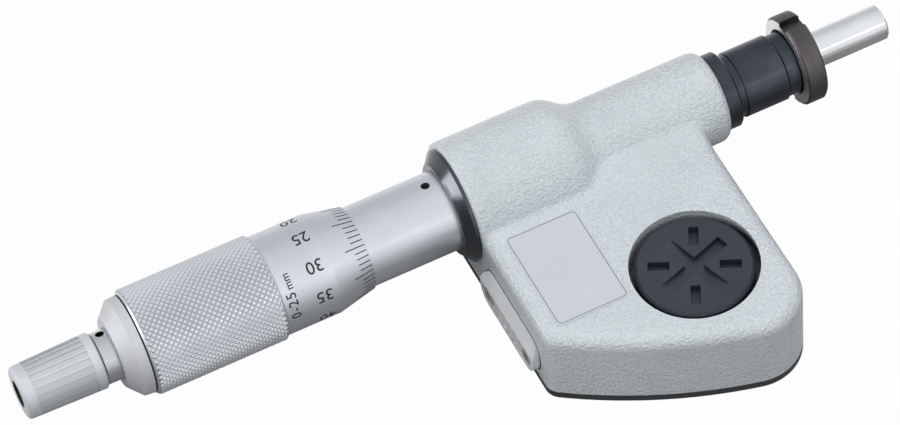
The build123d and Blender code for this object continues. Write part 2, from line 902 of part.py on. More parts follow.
def make_label():
    face = RectangleRounded(label_width, label_height, label_corner_r)
    x = housing_left + label_left_from_wall + label_width / 2
    y = fairing_foot_y - label_below_foot - label_height / 2
    return slab(Pos(x, y) * face, back_z, back_z + label_thickness)


# Stem, nut and seal
def make_stem():
    """The mounting stem: spigot, flange, undercut, plain register and thread, bored for the spindle."""
    neck_r = stem_r - undercut_depth
    relief = undercut_depth + shoulder_step
    thread_r = stem_r - stem_thread_depth
    stem = turned((spigot_end, 0), (spigot_end, spigot_r), (housing_right, spigot_r), (housing_right, flange_r),
                  (shoulder_x - flange_chamfer, flange_r), (shoulder_x, flange_r - flange_chamfer),
                  (shoulder_x, neck_r + relief), (shoulder_x - relief, neck_r),
                  (0, neck_r), (0, stem_r), (register_length, stem_r),
                  (register_length + stem_thread_depth, thread_r), (stem_end - stem_chamfer, thread_r),
                  (stem_end, thread_r - stem_chamfer), (stem_end, 0))
    stem -= collar(spigot_end - past, stem_end + past, spindle_r + running_clearance)
    stem -= collar(seal_front, stem_end - stem_bearing_length, spindle_r + stem_relief)
    return stem - collar(spigot_end - past, seal_front, seal_r)


def make_seal():
    rear = spigot_end + seal_rear_gap
    lip = spindle_r + running_clearance
    return turned((rear, seal_r), (seal_front, seal_r), (seal_front, lip + seal_lip),
                  (seal_front - seal_lip, lip), (rear + seal_lip, lip), (rear, lip + seal_lip))


def make_nut():
    """The clamp nut: round, with two spanner slots."""
    bore = stem_r - stem_thread_depth + nut_thread_clearance
    edge = nut_chamfer
    nut = turned((nut_left, bore + edge), (nut_left + edge, bore), (nut_right - edge, bore),
                 (nut_right, bore + edge), (nut_right, nut_r - edge), (nut_right - edge, nut_r),
                 (nut_left + edge, nut_r), (nut_left, nut_r - edge))
    slot = block(nut_left - past, nut_right + past, -nut_slot_width / 2, nut_slot_width / 2,
                 nut_r - nut_slot_depth, nut_r + past)
    for turn in (0, 180):
        nut -= around(nut_slot_angle + turn, slot)
    return nut


# Spindle and the pieces that turn with it inside the housing
def make_spindle():
    """Plain shaft, screw, taper seat and a tapped rear end, with the encoder's keyway."""
    c = spindle_tip_chamfer
    step = spindle_screw_r - spindle_r
    shaft = turned((spindle_rear, 0), (spindle_rear, spindle_taper_r), (web_front, spindle_screw_r),
                   (screw_front - step, spindle_screw_r), (screw_front, spindle_r),
                   (spindle_tip - c, spindle_r), (spindle_tip, spindle_r - c), (spindle_tip, 0))
    shaft -= collar(spindle_rear - past, spindle_rear + collar_screw_length, collar_screw_r)
    half = keyway_width / 2
    floor = spindle_r - keyway_depth
    return shaft - block(keyway_rear, keyway_front, -half, half, floor, spindle_r + past)


def make_bush():
    """The bush that the spindle drives through the key, running in the housing bore."""
    nose_r = bush_bore_r - screw_clearance
    seat_x = bore_end - running_clearance
    bush = turned((bush_rear, 0), (bush_rear, bush_r), (seat_x, bush_r), (seat_x, nose_r),
                  (bush_front, nose_r), (bush_front, 0))
    bush -= collar(bush_rear - past, bush_front + past, spindle_r + running_clearance)
    return bush - post(key_x, 0, 0, bush_r + past, key_r)


def make_key():
    return post(key_x, 0, spindle_r - keyway_depth + key_floor_gap, bush_r - key_top_gap, key_r)


def make_thrust_spring():
    """A dished spring that keeps the bush against its seat."""
    front = bush_rear - washer_gap
    return turned((flange_front, washer_big_r), (flange_front + washer_thickness, washer_big_r),
                  (front, washer_small_r), (front - washer_thickness, washer_small_r))


def make_flex():
    """The flat cable from the encoder's fixed card down to its socket on the board."""
    inner_y = past - encoder_bore_r
    run = block(flex_x - flex_half, flex_x + flex_half, flex_out_y, inner_y, flex_low_z, flex_high_z)
    drop = block(flex_x - flex_half, flex_x + flex_half, flex_out_y, flex_out_y + flex_width,
                 flex_foot_z, flex_high_z)
    return run + drop - collar(bore_end - stator_thickness, bore_end, encoder_bore_r)


def make_flex_socket():
    half = flex_socket_thickness / 2
    y0, y1 = flex_out_y, flex_out_y + flex_width
    margin = flex_socket_margin
    top = board_back_z + flex_socket_height
    socket = block(flex_x - half, flex_x + half, y0 - margin, y1 + margin, board_back_z, top)
    return socket - block(flex_x - flex_half, flex_x + flex_half, y0, y1, flex_foot_z, top + past)


# Sleeves, sleeve ring and adjusting nut
def make_inner_sleeve():
    """Flange, threaded collar for the ring, long body and the threaded end that guides the screw."""
    rear_r = adjusting_r - inner_rear_step
    step_x = inner_rear + inner_rear_length
    collar_x = housing_left - ring_collar_length
    sleeve = turned((inner_rear, 0), (inner_rear, rear_r), (step_x, rear_r), (step_x, adjusting_r),
                    (collar_x, adjusting_r), (collar_x, ring_thread_r), (housing_left, ring_thread_r),
                    (housing_left, encoder_bore_r), (flange_front, encoder_bore_r), (flange_front, 0))
    sleeve -= collar(nut_zone_front, flange_front + past, inner_bore_r)
    return sleeve - collar(inner_rear - past, nut_zone_front, spindle_screw_r + screw_clearance)


def make_adjusting_nut():
    x0 = inner_rear + adjusting_nut_set_in
    x1 = x0 + adjusting_nut_length
    return collar(x0, x1, adjusting_r - adjusting_nut_gap, adjusting_r - inner_rear_step)


def make_outer_sleeve():
    front = housing_left - ring_collar_length - sleeve_end_gap
    sleeve = collar(sleeve_rear, front, sleeve_r, sleeve_bore_r)
    hole = post(ring_left - sleeve_hole_from_ring, 0, sleeve_bore_r - past, sleeve_r + past, sleeve_hole_r)
    return sleeve - around(sleeve_hole_angle, hole)


def make_sleeve_ring():
    """The black cone that screws over the sleeve's collar against the housing."""
    bore = sleeve_r + ring_gap
    step_x = housing_left - ring_collar_length - ring_gap
    return turned((ring_left, bore), (ring_left, ring_small_r - ring_edge),
                  (ring_left + ring_edge, ring_small_r), (housing_left - ring_land, ring_big_r),
                  (housing_left, ring_big_r), (housing_left, ring_thread_r), (step_x, ring_thread_r),
                  (step_x, bore))


# Thimble, its cap and the ratchet
def make_thimble():
    """The thimble: bevelled scale end, smooth band, knurled barrel, web with a taper seat, socket."""
    bevel_rear = thimble_front - thimble_bevel
    knurl_front = bevel_rear - thimble_smooth
    step = knurl_r - thimble_r
    bore = sleeve_r + thimble_clearance
    return turned((thimble_front, bore), (thimble_front, thimble_edge_r), (bevel_rear, thimble_r),
                  (knurl_front, thimble_r), (knurl_front - step, knurl_r), (thimble_rear + step, knurl_r),
                  (thimble_rear, thimble_r), (thimble_rear, thimble_socket_r), (socket_floor, thimble_socket_r),
                  (socket_floor, spindle_taper_r), (web_front, spindle_screw_r), (web_front, thimble_inner_r),
                  (bevel_rear, thimble_inner_r), (bevel_rear + thimble_bore_step, bore))


def make_cap_ring():
    return collar(cap_front, thimble_rear, seal_ring_r, thimble_socket_r - cap_spigot_gap)


def make_thimble_cap():
    """The pale cone that closes the thimble, with a spigot in its socket."""
    rim_x = cap_front - cap_rim_length
    spigot_front = socket_floor - cap_spigot_short
    spigot_r = thimble_socket_r - cap_spigot_gap
    bore = collar_neck_r + cap_spigot_gap
    counterbore = collar_r + cap_collar_gap
    return turned((collar_front, bore), (collar_front, counterbore), (cap_rear, counterbore),
                  (cap_rear, cap_rear_r), (rim_x, cap_shoulder_r), (cap_front, cap_front_r),
                  (cap_front, spigot_r), (spigot_front, spigot_r), (spigot_front, spigot_r - cap_spigot_wall),
                  (cap_front, spigot_r - cap_spigot_wall), (cap_front, bore))


def make_collar():
    """The bright collar: neck and screw into the spindle, stub for the knob, one spanner hole."""
    screw_end = spindle_rear + collar_screw_length - screw_end_gap
    edge = collar_chamfer
    body = turned((stub_rear, 0), (stub_rear, stub_r), (collar_rear, stub_r), (collar_rear, collar_r - edge),
                  (collar_rear + edge, collar_r), (collar_front, collar_r), (collar_front, collar_neck_r),
                  (spindle_rear, collar_neck_r), (spindle_rear, collar_screw_r), (screw_end, collar_screw_r),
                  (screw_end, 0))
    body -= collar(stub_rear - past, stub_rear + knob_screw_length, knob_screw_r)
    middle = (collar_front + collar_rear) / 2
    hole = post(middle, 0, collar_r - collar_hole_depth, collar_r + past, collar_hole_r)
    body -= around(collar_hole_angle, hole)
    half = pawl_slot_width / 2
    floor = stub_r - pawl_slot_depth
    return body - block(crown_x, crown_x + pawl_thickness + past, -half, half, floor, stub_r + past)


def crown(x, lift):
    """Ring of radial teeth that point to +X from a face, grown by a clearance."""
    half = tooth_half_width + lift
    root = x - tooth_root
    tooth = make_face(Polyline((root, -half), (x, -half), (x + tooth_height + lift, 0), (x, half), (root, half),
                               close=True))
    solid = extrude(tooth, knob_bore_r - lift)
    ring = solid
    for i in range(1, ratchet_teeth):
        ring += Rot(X=360 * i / ratchet_teeth) * solid
    return ring - collar(x - past, x + past, crown_inner_r)


def make_pawl():
    """The sliding disc, keyed to the stub, whose face fits the knob's teeth."""
    front = crown_x + pawl_thickness
    disc = collar(crown_x + pawl_face_gap, front, knob_bore_r - pawl_rim_gap, stub_r + pawl_bore_gap)
    disc -= crown(crown_x, tooth_gap)
    half = pawl_key_width / 2
    key = block(crown_x + tooth_height + tooth_gap, front, -half, half, stub_r - pawl_key_depth, crown_inner_r)
    return disc + key


def make_ratchet_spring():
    """The coil that presses the pawl on the teeth."""
    front = collar_rear - spring_wire_r - spring_end_gap
    rear = crown_x + pawl_thickness + pawl_stroke + spring_wire_r + 2 * spring_end_gap
    path = Helix((front - rear) / spring_turns, front - rear, spring_coil_r)
    start = Plane(path @ 0, z_dir=path % 0)
    coil = sweep(start * Circle(spring_wire_r), path=path)
    return Pos(rear, 0, 0) * Rot(Y=90) * coil


def make_knob():
    """The ratchet knob: tapered, fluted, hollow, with the crown of teeth inside."""
    e = knob_end_round
    body = turned((knob_rear, 0), (knob_rear, knob_small_r - e), (knob_rear + e / 3, knob_small_r - e / 3),
                  (knob_rear + e, knob_small_r), (knob_front - knob_edge, knob_big_r),
                  (knob_front, knob_big_r - knob_edge), (knob_front, 0))
    taper = (knob_big_r - knob_small_r) / knob_length
    width = knob_big_r * radians(360 / flute_count) - flute_rib
    x0, x1 = knob_rear + flute_margin_rear, knob_front - flute_margin_front
    r0 = knob_small_r + taper * (x0 - knob_rear) - flute_depth
    r1 = knob_small_r + taper * (x1 - knob_rear) - flute_depth
    side = make_face(Polyline((x0, r0), (x1, r1), (x1, r1 + past), (x0, r0 + past), close=True))
    flute = extrude(side, width / 2, both=True)
    for i in range(flute_count):
        body -= Rot(X=360 * i / flute_count) * flute
    body -= collar(crown_x, knob_front + past, knob_bore_r)
    body -= collar(knob_rear - past, stub_rear + knob_end_play, knob_recess_r)
    body -= collar(knob_rear, crown_x + past, stub_r + stub_gap)
    return body + crown(crown_x, 0.0)


def make_ratchet_screw():
    """The screw in the knob's end that keeps the knob on its stub."""
    head_x = stub_rear - knob_screw_head
    head_r = knob_recess_r - knob_screw_head_gap
    edge = knob_screw_chamfer
    end_x = stub_rear + knob_screw_length - screw_end_gap
    screw = turned((head_x, 0), (head_x, head_r - edge), (head_x + edge, head_r), (stub_rear, head_r),
                   (stub_rear, knob_screw_r), (end_x, knob_screw_r), (end_x, 0))
    return screw - Pos(head_x, 0, 0) * Rot(Y=90) * cross_recess(head_r)


pieces = {
    "housing": make_housing(),
    "front_panel": make_front_panel(),
    "front_panel_screws": make_panel_screws(),
    "panel_gasket": slab(gasket_track(), panel_z, panel_z + gasket_height),
    "display_window": make_window(),
    "display_panel": centered(lcd_length, lcd_height, lcd_front_z, lcd_back_z),
    "display_frame": make_lcd_frame(),
    "display_contact_strips": make_contact_strips(),
    "main_board": make_board(),
    "board_screws": make_board_screws(),
    "measuring_chip": block(chip_x, chip_x + chip_size, chip_y, chip_y + chip_size, board_back_z,
                            board_back_z + chip_height),
    "key_mat": make_key_mat(),
    "battery": make_battery(),
    "battery_holder": make_holder(),
    "battery_contact_minus": make_contact_minus(),
    "battery_contact_plus": contact_strip(board_front_z, cell_top_z - contact_below_top),
    "battery_cap": make_cap(),
    "battery_cap_o_ring": make_cap_o_ring(),
    "connector_cover": make_cover(),
    "connector_cover_screws": make_cover_screws(),
    "connector_gasket": make_cover_gasket(),
    "output_connector": make_connector(),
    "rating_label": make_label(),
    "stem": make_stem(),
    "spindle_seal": make_seal(),
    "clamp_nut": make_nut(),
    "spindle": make_spindle(),
    "rotor_bush": make_bush(),
    "rotor_key": make_key(),
    "encoder_rotor": collar(rotor_rear, rotor_rear + rotor_thickness, encoder_bore_r - rotor_rim_gap, bush_r),
    "encoder_stator": collar(bore_end - stator_thickness, bore_end, encoder_bore_r, bush_r + stator_bore_gap),
    "thrust_spring": make_thrust_spring(),
    "encoder_flex": make_flex(),
    "flex_socket": make_flex_socket(),
    "inner_sleeve": make_inner_sleeve(),
    "adjusting_nut": make_adjusting_nut(),
    "outer_sleeve": make_outer_sleeve(),
    "sleeve_ring": make_sleeve_ring(),
    "thimble": make_thimble(),
    "cap_seal_ring": make_cap_ring(),
    "thimble_cap": make_thimble_cap(),
    "ratchet_collar": make_collar(),
    "ratchet_pawl": make_pawl(),
    "ratchet_spring": make_ratchet_spring(),
    "ratchet_knob": make_knob(),
    "ratchet_screw": make_ratchet_screw(),
}
for side, (x, y) in zip(("left", "middle", "right"), button_spots):
    pieces[f"button_{side}"] = make_button(x, y)
for name, solid in pieces.items():
    export(solid, name)
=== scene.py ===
from math import atan2, cos, hypot, pi, radians, sin

import bmesh
import bpy
from mathutils import Matrix, Vector


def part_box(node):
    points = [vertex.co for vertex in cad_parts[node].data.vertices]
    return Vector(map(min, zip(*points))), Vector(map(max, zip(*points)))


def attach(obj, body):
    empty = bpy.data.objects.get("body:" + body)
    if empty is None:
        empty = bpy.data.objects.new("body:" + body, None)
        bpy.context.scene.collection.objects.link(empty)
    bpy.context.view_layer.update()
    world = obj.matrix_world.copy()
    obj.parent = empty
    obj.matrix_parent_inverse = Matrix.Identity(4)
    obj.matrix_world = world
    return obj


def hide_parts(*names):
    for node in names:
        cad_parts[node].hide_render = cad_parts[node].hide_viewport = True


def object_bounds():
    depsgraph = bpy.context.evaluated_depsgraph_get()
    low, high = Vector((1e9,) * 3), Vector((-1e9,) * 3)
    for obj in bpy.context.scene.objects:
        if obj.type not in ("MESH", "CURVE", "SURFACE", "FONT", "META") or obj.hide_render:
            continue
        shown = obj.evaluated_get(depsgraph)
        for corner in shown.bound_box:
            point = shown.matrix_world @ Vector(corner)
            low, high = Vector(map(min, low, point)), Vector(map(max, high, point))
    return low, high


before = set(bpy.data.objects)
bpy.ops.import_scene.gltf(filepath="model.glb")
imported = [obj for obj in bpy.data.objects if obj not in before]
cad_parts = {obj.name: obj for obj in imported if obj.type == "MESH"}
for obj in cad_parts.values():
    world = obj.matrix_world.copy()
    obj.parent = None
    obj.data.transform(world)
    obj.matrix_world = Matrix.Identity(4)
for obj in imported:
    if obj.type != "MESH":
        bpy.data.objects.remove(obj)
cad_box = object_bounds()
mm = 0.001

# The bench and the light. The head lies on its display face on a pale table, under a wide overhead
# diffuser, with a strip in front and a low lamp at the left. The room is white to the camera. The metal
# sees a pale tent, brightest above the front, and a table that is pale behind and dim close in front,
# where a painted shadow of the head cuts the table's white out of the reflections.
camera_right = Vector((0.89637, -0.43881, -0.06295))
camera_up = Vector((0.38762, 0.70694, 0.59159))
camera_back = Vector((-0.21509, -0.55468, 0.80378))
camera_data = bpy.data.cameras.new("camera")
camera_data.lens = 194.405
camera_data.sensor_width = 36.0
camera_data.clip_start = 0.05
camera_data.clip_end = 20.0
camera = bpy.data.objects.new("camera", camera_data)
turn = Matrix((camera_right, camera_up, camera_back)).transposed().to_4x4()
camera.matrix_world = Matrix.Translation((-0.233175, -0.460078, 0.665302)) @ turn
bpy.context.scene.collection.objects.link(camera)
bpy.context.scene.camera = camera
bpy.context.scene.view_settings.view_transform = "Standard"


def soft_box(name, place, target, width, height, watts):
    """A flat lamp with a diffuser, turned to look at a point."""
    lamp = bpy.data.lights.new(name, "AREA")
    lamp.shape = "RECTANGLE"
    lamp.size, lamp.size_y = width, height
    lamp.energy = watts
    holder = bpy.data.objects.new(name, lamp)
    aim = Vector(target) - Vector(place)
    holder.matrix_world = Matrix.Translation(place) @ aim.to_track_quat("-Z", "Y").to_matrix().to_4x4()
    bpy.context.scene.collection.objects.link(holder)
    return holder


middle = (cad_box[0] + cad_box[1]) / 2
overhead = soft_box("overhead_diffuser", (-0.05, -0.20, 0.70), middle, 1.10, 0.90, 4.7)
overhead.visible_glossy = False
soft_box("front_strip", (0.28, -0.72, 0.48), middle, 0.60, 0.16, 0.16)
soft_box("left_lamp", (-0.99, 0.30, 0.16), middle, 0.55, 0.28, 2.8)

world = bpy.data.worlds.new("studio")
bpy.context.scene.world = world
world.use_nodes = True
sky = world.node_tree.nodes
air = world.node_tree.links
sky.clear()
out = sky.new("ShaderNodeOutputWorld")
seen = sky.new("ShaderNodeBackground")
seen.inputs["Color"].default_value = (1, 1, 1, 1)
heading = sky.new("ShaderNodeTexCoord")


def tent(strength, towards, low, high):
    """A background whose colour changes evenly towards one direction."""
    facing = sky.new("ShaderNodeVectorMath")
    facing.operation = "DOT_PRODUCT"
    facing.inputs[1].default_value = towards
    air.new(heading.outputs["Generated"], facing.inputs[0])
    shade = sky.new("ShaderNodeValToRGB")
    shade.color_ramp.elements[0].color = (*low, 1)
    shade.color_ramp.elements[1].color = (*high, 1)
    air.new(facing.outputs["Value"], shade.inputs[0])
    glow = sky.new("ShaderNodeBackground")
    glow.inputs["Strength"].default_value = strength
    air.new(shade.outputs[0], glow.inputs["Color"])
    return glow


room = tent(0.42, (0, 0, 1.3), (0.10, 0.105, 0.115), (0.95, 0.97, 1.0))
backdrop = tent(1.10, (0.10, -0.60, 0.79), (0.62, 0.63, 0.65), (0.95, 0.96, 0.97))
ray = sky.new("ShaderNodeLightPath")
mirrored = sky.new("ShaderNodeMath")
air.new(ray.outputs["Is Glossy Ray"], mirrored.inputs[0])
air.new(ray.outputs["Is Transmission Ray"], mirrored.inputs[1])
metal_sees = sky.new("ShaderNodeMixShader")
air.new(mirrored.outputs[0], metal_sees.inputs[0])
air.new(room.outputs[0], metal_sees.inputs[1])
air.new(backdrop.outputs[0], metal_sees.inputs[2])
camera_sees = sky.new("ShaderNodeMixShader")
air.new(ray.outputs["Is Camera Ray"], camera_sees.inputs[0])
air.new(metal_sees.outputs[0], camera_sees.inputs[1])
air.new(seen.outputs[0], camera_sees.inputs[2])
air.new(camera_sees.outputs[0], out.inputs[0])

table_top = bmesh.new()
bmesh.ops.create_grid(table_top, x_segments=1, y_segments=1, size=4.0)
bmesh.ops.translate(table_top, verts=table_top.verts, vec=(0, 0, cad_box[0].z - 0.02 * mm))
table_mesh = bpy.data.meshes.new("table")
table_top.to_mesh(table_mesh)
table_top.free()
table = bpy.data.objects.new("table", table_mesh)
bpy.context.scene.collection.objects.link(table)
table_paint = bpy.data.materials.new("white_table")
table_paint.use_nodes = True
tops = table_paint.node_tree.nodes
wires = table_paint.node_tree.links
tops.clear()
out = tops.new("ShaderNodeOutputMaterial")
matt = tops.new("ShaderNodeBsdfDiffuse")
matt.inputs["Color"].default_value = (0.32, 0.32, 0.32, 1)
lit = tops.new("ShaderNodeEmission")
ray = tops.new("ShaderNodeLightPath")
share = tops.new("ShaderNodeMath")
share.operation = "MULTIPLY_ADD"
share.inputs[1].default_value = 0.98
wires.new(ray.outputs["Is Camera Ray"], share.inputs[0])
bounced = tops.new("ShaderNodeMath")
wires.new(ray.outputs["Is Glossy Ray"], bounced.inputs[0])
wires.new(ray.outputs["Is Transmission Ray"], bounced.inputs[1])
spot = tops.new("ShaderNodeTexCoord")
depth = tops.new("ShaderNodeSeparateXYZ")
wires.new(spot.outputs["Object"], depth.inputs[0])
reach = tops.new("ShaderNodeMapRange")
reach.inputs["From Min"].default_value = -300 * mm
reach.inputs["From Max"].default_value = 100 * mm
wires.new(depth.outputs["Y"], reach.inputs["Value"])
# Painted shadow: seen in reflections, the table's white share drops to nothing in a band under the head.
glossy_white_with_painted_shadow = tops.new("ShaderNodeValToRGB")
far_in_front, far_behind = 0.48, 0.82
glossy_white_with_painted_shadow.color_ramp.elements[0].color = (far_in_front,) * 3 + (1,)
glossy_white_with_painted_shadow.color_ramp.elements[1].color = (far_behind,) * 3 + (1,)
for place, pale in ((0.64, 0.24), (0.68, 0.0), (0.755, 0.0), (0.79, 1.0)):
    glossy_white_with_painted_shadow.color_ramp.elements.new(place).color = (pale, pale, pale, 1)
wires.new(reach.outputs["Result"], glossy_white_with_painted_shadow.inputs[0])
mirror = tops.new("ShaderNodeMath")
mirror.operation = "MULTIPLY"
wires.new(bounced.outputs[0], mirror.inputs[0])
wires.new(glossy_white_with_painted_shadow.outputs[0], mirror.inputs[1])
wires.new(mirror.outputs[0], share.inputs[2])
mix = tops.new("ShaderNodeMixShader")
wires.new(share.outputs[0], mix.inputs[0])
wires.new(matt.outputs[0], mix.inputs[1])
wires.new(lit.outputs[0], mix.inputs[2])
wires.new(mix.outputs[0], out.inputs[0])
table_mesh.materials.append(table_paint)


# Housing: one zinc casting in pale grey hammered enamel, its dimples half a millimetre or so across.
# The enamel is sprayed thick, so it is glossy in the dimples, and its colour follows the relief as
# painted light: paler in the dimples, a little darker on the rims between them. The bottom and wall
# of the battery recess are painted near black as its shadow.
def open_material(name):
    """A new material with its node tree, its links and its main shader."""
    material = bpy.data.materials.new(name)
    material.use_nodes = True
    tree = material.node_tree
    return material, tree.nodes, tree.links, tree.nodes["Principled BSDF"]


def object_point(nodes, links, stretch=(1, 1, 1)):
    """Object coordinates, stretched along the axes."""
    source = nodes.new("ShaderNodeTexCoord")
    mapping = nodes.new("ShaderNodeMapping")
    mapping.inputs["Scale"].default_value = stretch
    links.new(source.outputs["Object"], mapping.inputs["Vector"])
    return mapping.outputs["Vector"]


def mottle(nodes, links, point, per_metre, detail=2.0, roughness=0.5):
    """Soft random variation with a given number of cells to the metre."""
    noise = nodes.new("ShaderNodeTexNoise")
    noise.inputs["Scale"].default_value = per_metre
    noise.inputs["Detail"].default_value = detail
    noise.inputs["Roughness"].default_value = roughness
    links.new(point, noise.inputs["Vector"])
    return noise.outputs["Fac"]


def spread(nodes, links, value, low, high, start=0.3, end=0.7):
    """A value from 0 to 1 laid out between two others."""
    span = nodes.new("ShaderNodeMapRange")
    span.inputs["From Min"].default_value = start
    span.inputs["From Max"].default_value = end
    span.inputs["To Min"].default_value = low
    span.inputs["To Max"].default_value = high
    links.new(value, span.inputs["Value"])
    return span.outputs["Result"]


def tint(nodes, links, value, dark, pale, start=0.3, end=0.7):
    """Two colours blended by a value from 0 to 1."""
    band = nodes.new("ShaderNodeValToRGB")
    band.color_ramp.elements[0].position = start
    band.color_ramp.elements[0].color = (*dark, 1)
    band.color_ramp.elements[1].position = end
    band.color_ramp.elements[1].color = (*pale, 1)
    links.new(value, band.inputs[0])
    return band.outputs[0]


def relief(nodes, links, shader, height, depth, strength=1.0, under=None):
    """Bumps of a given depth in metres on the main shader."""
    bump = nodes.new("ShaderNodeBump")
    bump.inputs["Distance"].default_value = depth
    bump.inputs["Strength"].default_value = strength
    links.new(height, bump.inputs["Height"])
    if under is not None:
        links.new(under, bump.inputs["Normal"])
    links.new(bump.outputs["Normal"], shader.inputs["Normal"])
    return bump.outputs["Normal"]


def dress(material, *node_names):
    """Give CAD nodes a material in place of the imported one."""
    for name in node_names:
        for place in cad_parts[name].material_slots:
            place.material = material


enamel, nodes, links, shader = open_material("hammered_enamel")
point = object_point(nodes, links)
wander = nodes.new("ShaderNodeTexNoise")
wander.inputs["Scale"].default_value = 900.0
wander.inputs["Detail"].default_value = 3.0
links.new(point, wander.inputs["Vector"])
drift = nodes.new("ShaderNodeVectorMath")
drift.operation = "MULTIPLY_ADD"
drift.inputs[1].default_value = (0.0007, 0.0007, 0.0007)
links.new(wander.outputs["Color"], drift.inputs[0])
links.new(point, drift.inputs[2])
cells = nodes.new("ShaderNodeTexVoronoi")
cells.inputs["Scale"].default_value = 2000.0
links.new(drift.outputs[0], cells.inputs["Vector"])
fine = mottle(nodes, links, point, 3200.0, 3.0, 0.65)
broad = mottle(nodes, links, point, 160.0, 2.0)
blend = nodes.new("ShaderNodeMath")
blend.operation = "MULTIPLY_ADD"
blend.inputs[1].default_value = 0.6
links.new(fine, blend.inputs[0])
links.new(cells.outputs["Distance"], blend.inputs[2])
height = blend.outputs[0]
# Painted light: the colour follows the relief, paler in the dimples and a little darker on the rims between
# them.
relief_painted_light = tint(nodes, links, height, (0.782, 0.842, 0.868), (0.672, 0.733, 0.756), 0.45, 1.15)
cloud = tint(nodes, links, broad, (0.94, 0.945, 0.945), (1.0, 1.0, 1.0))
shade = nodes.new("ShaderNodeMix")
shade.data_type = "RGBA"
shade.blend_type = "MULTIPLY"
shade.inputs["Factor"].default_value = 1.0
links.new(relief_painted_light, shade.inputs["A"])
links.new(cloud, shade.inputs["B"])
coated = shade.outputs["Result"]
cap_low, cap_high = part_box("battery_cap")
cap_centre = (cap_low + cap_high) / 2
# Painted shadow: inside the battery recess, below the back face, the enamel turns near black where the gap
# round the cap lies in shade.
mask_radius, mask_height, mask_shift = 11.6 * mm, 8.0 * mm, 0.4 * mm
recess_floor, just_under_back = 0.4 * mm, 3.15 * mm
recess = nodes.new("ShaderNodeMapping")
recess.vector_type = "TEXTURE"
recess.inputs["Location"].default_value = (cap_centre.x, cap_centre.y - mask_shift, recess_floor)
recess.inputs["Scale"].default_value = (mask_radius, mask_radius, mask_height)
links.new(point, recess.inputs["Vector"])
reach = nodes.new("ShaderNodeVectorMath")
reach.operation = "LENGTH"
links.new(recess.outputs[0], reach.inputs[0])
parts = nodes.new("ShaderNodeSeparateXYZ")
links.new(point, parts.inputs[0])
below = nodes.new("ShaderNodeMath")
below.operation = "LESS_THAN"
below.inputs[1].default_value = just_under_back
links.new(parts.outputs["Z"], below.inputs[0])
recess_painted_shadow = nodes.new("ShaderNodeMath")
recess_painted_shadow.operation = "MULTIPLY"
links.new(spread(nodes, links, reach.outputs["Value"], 1.0, 0.0, 0.975, 1.015), recess_painted_shadow.inputs[0])
links.new(below.outputs[0], recess_painted_shadow.inputs[1])
# The painted shadow colour of the recess.
recess_shadow_mix = nodes.new("ShaderNodeMix")
recess_shadow_mix.data_type = "RGBA"
links.new(recess_painted_shadow.outputs[0], recess_shadow_mix.inputs["Factor"])
links.new(coated, recess_shadow_mix.inputs["A"])
recess_shadow_mix.inputs["B"].default_value = (0.010, 0.011, 0.013, 1)
coated = recess_shadow_mix.outputs["Result"]
links.new(coated, shader.inputs["Base Color"])
links.new(spread(nodes, links, fine, 0.22, 0.38), shader.inputs["Roughness"])
relief(nodes, links, shader, height, 0.00021, 1.0)
shader.inputs["Coat Weight"].default_value = 0.5
shader.inputs["Coat Roughness"].default_value = 0.12
dress(enamel, "housing")

# Front panel: a black moulded plate that closes the display side, screwed on over a gasket.
# Its face has a fine spark-eroded grain, and the edge shows as a thin dark line under the casting.


def moulded(name, colour, grain_depth=0.00001, gloss=(0.38, 0.55), per_metre=2600.0):
    """Moulded plastic with a fine grain and small changes in shade."""
    material, nodes, links, shader = open_material(name)
    point = object_point(nodes, links)
    grain = mottle(nodes, links, point, per_metre, 3.0, 0.65)
    cloud = mottle(nodes, links, point, 90.0, 2.0)
    dark = tuple(0.88 * c for c in colour)
    pale = tuple(min(1.0, 1.10 * c + 0.002) for c in colour)
    links.new(tint(nodes, links, cloud, dark, pale), shader.inputs["Base Color"])
    links.new(spread(nodes, links, grain, *gloss), shader.inputs["Roughness"])
    relief(nodes, links, shader, grain, grain_depth, 0.6)
    return material


panel_black = moulded("panel_black", (0.020, 0.021, 0.024))
dress(panel_black, "front_panel")
gasket_rubber = moulded("gasket_rubber", (0.012, 0.012, 0.012), gloss=(0.55, 0.75))
dress(gasket_rubber, "panel_gasket")


def turned(name, dark, pale, gloss, depth=0.0000012, fineness=2600.0):
    """Metal from a lathe or grinder: faint rings round the spindle axis, and a soft change in shade."""
    material, nodes, links, shader = open_material(name)
    rings = mottle(nodes, links, object_point(nodes, links, (1.0, 0.02, 0.02)), fineness, 3.0, 0.6)
    cloud = mottle(nodes, links, object_point(nodes, links), 130.0, 2.0)
    links.new(tint(nodes, links, cloud, dark, pale), shader.inputs["Base Color"])
    links.new(spread(nodes, links, rings, *gloss), shader.inputs["Roughness"])
    shader.inputs["Metallic"].default_value = 1.0
    relief(nodes, links, shader, rings, depth, 0.7)
    return material


